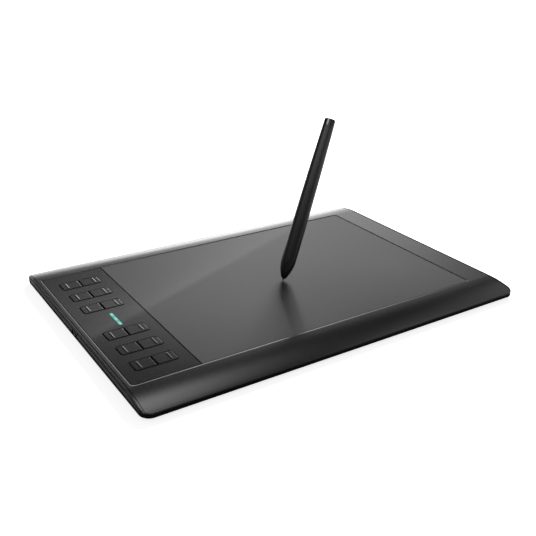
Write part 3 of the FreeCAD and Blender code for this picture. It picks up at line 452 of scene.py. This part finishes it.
def lamp(name, watts, size, azimuth, elevation, distance, target=(0, 0, 0)):
    """Area lamp that faces its target. The azimuth is in degrees from +X towards +Y, the elevation
    in degrees above the desk, and the lengths are in metres."""
    turn, rise = math.radians(azimuth), math.radians(elevation)
    towards = Vector((math.cos(turn) * math.cos(rise), math.sin(turn) * math.cos(rise),
                      math.sin(rise))).normalized()
    light = bpy.data.lights.new(name, "AREA")
    light.shape = "RECTANGLE"
    light.size, light.size_y = size
    light.energy = watts
    made = bpy.data.objects.new(name, light)
    made.location = Vector(target) + towards * distance
    made.rotation_euler = towards.to_track_quat("Z", "Y").to_euler()
    scene.collection.objects.link(made)
    return made


def pen_lamp(name, *lit_pieces, **placing):
    """Lamp that adds gloss to the given pieces and reaches nothing else."""
    made = lamp(name, **placing)
    reach = bpy.data.collections.new(name + "_reach")
    for piece in lit_pieces:
        reach.objects.link(nodes[piece])
    made.light_linking.receiver_collection = reach
    made.visible_diffuse = False
    made.visible_camera = False


softbox = lamp("rear_softbox", watts=164.0, size=(0.75, 0.52), azimuth=42.8, elevation=32.8,
               distance=3.0)
softbox.visible_glossy = False  # the room's own shapes are what glossy surfaces reflect

PEN_OUTSIDE = ("pen_barrel", "pen_nose_cone", "pen_nib", "pen_end_cap", "pen_rocker")
pen_lamp("pen_bank", *PEN_OUTSIDE, watts=4.2, size=(0.9, 0.3), azimuth=207, elevation=24,
         distance=0.5, target=(0.185, 0.073, 0.36))
pen_lamp("pen_strip", *PEN_OUTSIDE, watts=0.3, size=(0.05, 0.4), azimuth=187, elevation=26,
         distance=0.5, target=(0.155, 0.06, 0.3))
pen_lamp("pen_side", *PEN_OUTSIDE, watts=0.12, size=(0.12, 0.12), azimuth=-60, elevation=12,
         distance=0.2, target=(0.064, 0.017, 0.119))
pen_lamp("cap_glint", "pen_end_cap", watts=4.6, size=(0.2, 0.25), azimuth=192, elevation=41.5,
         distance=0.5, target=(0.0726, 0.0215, 0.1367))


# Room
# A white room that lights the tablet weakly and evenly. Glossy surfaces reflect the window, the
# softboxes, the card and the walls of a studio, each a soft shape of its own brightness.

EVEN_LIGHT = 0.2
WHITE = (1, 1, 1, 1)
world = bpy.data.worlds.new("studio")
scene.world = world
world.use_nodes = True
world.cycles.sampling_method = "NONE"  # its light is too even to be sampled as a lamp
tree = world.node_tree
tree.nodes.clear()
link = tree.links.new
looking = add_node(tree, "ShaderNodeTexCoord").outputs["Generated"]
axes = add_node(tree, "ShaderNodeSeparateXYZ", Vector=looking)
elevation = maths(tree, "ARCSINE", axes.outputs["Z"])
azimuth = maths(tree, "ARCTAN2", axes.outputs["Y"], axes.outputs["X"])


def brightness_along(tree, angle, steps, first, last):
    """Brightness that follows the steps, (degrees, brightness), between two angles in degrees."""
    peak = max(bright for _, bright in steps)
    share = add_node(tree, "ShaderNodeMapRange", Value=angle, From_Min=math.radians(first),
                     From_Max=math.radians(last))
    ramp = add_node(tree, "ShaderNodeValToRGB", Fac=share.outputs["Result"])
    stops = ramp.color_ramp.elements
    stops.remove(stops[1])
    for number, (degrees, bright) in enumerate(steps):
        position = (degrees - first) / (last - first)
        stop = stops.new(position) if number else stops[0]
        stop.position = position
        stop.color = (*[bright / peak] * 3, 1.0)
    return maths(tree, "MULTIPLY", ramp.outputs["Color"], peak)


# each a brightness by elevation and a share by azimuth, both as lists of (degrees, value)
STUDIO_SHAPES = (
    # window behind the left half, and the ceiling over it
    ([(0, 5.4), (8, 3.4), (15, 1.8), (20, 0.0), (24, 0.0), (28, 2.3), (33, 0.0), (46, 0.0),
      (54, 3.1), (70, 2.2)],
     [(44, 0.0), (56, 1.0), (68, 0.64), (85, 0.0)]),
    # low part of that window, brighter towards its middle
    ([(0, 1.43), (8, 0.99), (15, 0.0)],
     [(54, 0.0), (60, 1.0), (70, 0.6), (74, 0.0)]),
    # softbox straight behind the tablet
    ([(8, 0.0), (15, 1.5), (20, 1.5), (24, 2.4), (28, 0.0), (46, 0.0), (54, 1.6), (70, 0.5)],
     [(32, 0.0), (44, 1.0), (56, 0.77), (68, 0.0)]),
    # smaller softbox to the right
    ([(0, 0.06), (8, 0.18), (20, 0.0), (24, 0.0), (28, 1.8), (33, 1.3), (39, 0.0), (46, 1.0),
      (54, 0.0)],
     [(-20, 0.0), (20, 1.0), (32, 0.09), (44, 0.0)]),
    # walls behind the camera, and the ceiling there
    ([(0, 0.3), (20, 0.3), (24, 0.4), (28, 1.4), (33, 1.4), (39, 0.2), (46, 0.9), (54, 0.1),
      (70, 1.1)],
     [(-180, 0.5), (-20, 0.5), (20, 0.0), (95, 0.0), (130, 0.5), (180, 0.5)]),
    # ceiling behind the tablet
    ([(54, 0.0), (70, 0.3)],
     [(-20, 0.0), (20, 1.0), (95, 1.0), (130, 0.0)]),
)

# a bright card that ends in one straight tilted edge and fades away from it
CARD_EDGE_NORMAL = (-0.2297, 0.5729, -0.7868)
CARD_FADING = 50.0
CARD_ALONG = [(47, 0.0), (52, 2.3), (58, 3.2), (62, 3.8), (66, 2.4), (70, 2.3), (85, 0.5)]
edge_distance = add_node(tree, "ShaderNodeVectorMath", operation="DOT_PRODUCT")
edge_distance.inputs[1].default_value = CARD_EDGE_NORMAL
link(looking, edge_distance.inputs[0])
past_edge = edge_distance.outputs["Value"]
on_card = maths(tree, "GREATER_THAN", past_edge, 0.0)
fading = maths(tree, "EXPONENT", maths(tree, "MULTIPLY", past_edge, -CARD_FADING))
reflected = maths(tree, "MULTIPLY", maths(tree, "MULTIPLY", on_card, fading),
                  brightness_along(tree, azimuth, CARD_ALONG, CARD_ALONG[0][0], CARD_ALONG[-1][0]))
for heights, around in STUDIO_SHAPES:
    shape = maths(tree, "MULTIPLY", brightness_along(tree, elevation, heights, 0, 90),
                  brightness_along(tree, azimuth, around, -180, 180))
    reflected = maths(tree, "ADD", reflected, shape)

# glossy rays see the studio, camera and transmission rays see plain white, and the others see the
# even light
path = add_node(tree, "ShaderNodeLightPath")
even = add_node(tree, "ShaderNodeBackground", Color=WHITE, Strength=EVEN_LIGHT)
studio = add_node(tree, "ShaderNodeBackground", Strength=reflected)
white = add_node(tree, "ShaderNodeBackground", Color=WHITE, Strength=1.0)
lit_room = add_node(tree, "ShaderNodeMixShader", Fac=path.outputs["Is Glossy Ray"])
seen_room = add_node(tree, "ShaderNodeMixShader", Fac=maths(
    tree, "MAXIMUM", path.outputs["Is Camera Ray"], path.outputs["Is Transmission Ray"]))
link(even.outputs[0], lit_room.inputs[1])
link(studio.outputs[0], lit_room.inputs[2])
link(lit_room.outputs[0], seen_room.inputs[1])
link(white.outputs[0], seen_room.inputs[2])
add_node(tree, "ShaderNodeOutputWorld", Surface=seen_room.outputs[0])


# Floor
# A matt pale floor just under the feet. Camera, glossy and transmission rays see it lifted to
# white, and it keeps the tablet's shadow.

FLOOR_REACH = 12.0
UNDER_FEET = 0.0002
FLOOR_LIFT = 0.815
floor_mesh = bpy.data.meshes.new("floor")
floor_mesh.from_pydata([(x * FLOOR_REACH, y * FLOOR_REACH, 0)
                        for x, y in ((-1, -1), (1, -1), (1, 1), (-1, 1))], [], [(0, 1, 2, 3)])
floor = bpy.data.objects.new("floor", floor_mesh)
floor.location.z = -UNDER_FEET
scene.collection.objects.link(floor)
floor_white, tree, shader = new_material("floor_white", Base_Color=(0.85, 0.85, 0.85, 1.0),
                                         Roughness=0.7, Specular_IOR_Level=0.0)
link = tree.links.new
path = add_node(tree, "ShaderNodeLightPath")
lift = add_node(tree, "ShaderNodeEmission", Color=WHITE, Strength=FLOOR_LIFT)
lifted = add_node(tree, "ShaderNodeAddShader")
sharp_ray = maths(tree, "MAXIMUM", path.outputs["Is Camera Ray"], path.outputs["Is Glossy Ray"])
seen_floor = add_node(tree, "ShaderNodeMixShader", Fac=maths(
    tree, "MAXIMUM", sharp_ray, path.outputs["Is Transmission Ray"]))
link(shader.outputs[0], lifted.inputs[0])
link(lift.outputs[0], lifted.inputs[1])
link(shader.outputs[0], seen_floor.inputs[1])
link(lifted.outputs[0], seen_floor.inputs[2])
link(seen_floor.outputs[0], tree.nodes["Material Output"].inputs["Surface"])
floor_mesh.materials.append(floor_white)


# Camera
# It looks at the front left corner from about 25 degrees above the desk, with the lens of the
# photograph, whose middle is a little to the left of the picture's. The sensor is in millimetres,
# and the other lengths of the lens are in pixels.

SENSOR = 36.0
PICTURE = 536
FOCAL_LENGTH = 733.33
MIDDLE_X, MIDDLE_Y = 232.48, 268.5
RIGHTWARDS = Vector((0.8488, -0.5283, 0.0205))
UPWARDS = Vector((0.2089, 0.3707, 0.9049))
FORWARDS = Vector((0.4856, 0.7639, -0.4250))
camera_data = bpy.data.cameras.new("camera")
camera_data.sensor_width = SENSOR
camera_data.lens = FOCAL_LENGTH / PICTURE * SENSOR
camera_data.shift_x = (PICTURE / 2 - MIDDLE_X) / PICTURE
camera_data.shift_y = (MIDDLE_Y - PICTURE / 2) / PICTURE
camera = bpy.data.objects.new("camera", camera_data)
camera.location = (-0.3404, -0.4745, 0.2934)
camera.rotation_euler = Matrix((RIGHTWARDS, UPWARDS, -FORWARDS)).transposed().to_euler()
scene.collection.objects.link(camera)
scene.camera = camera
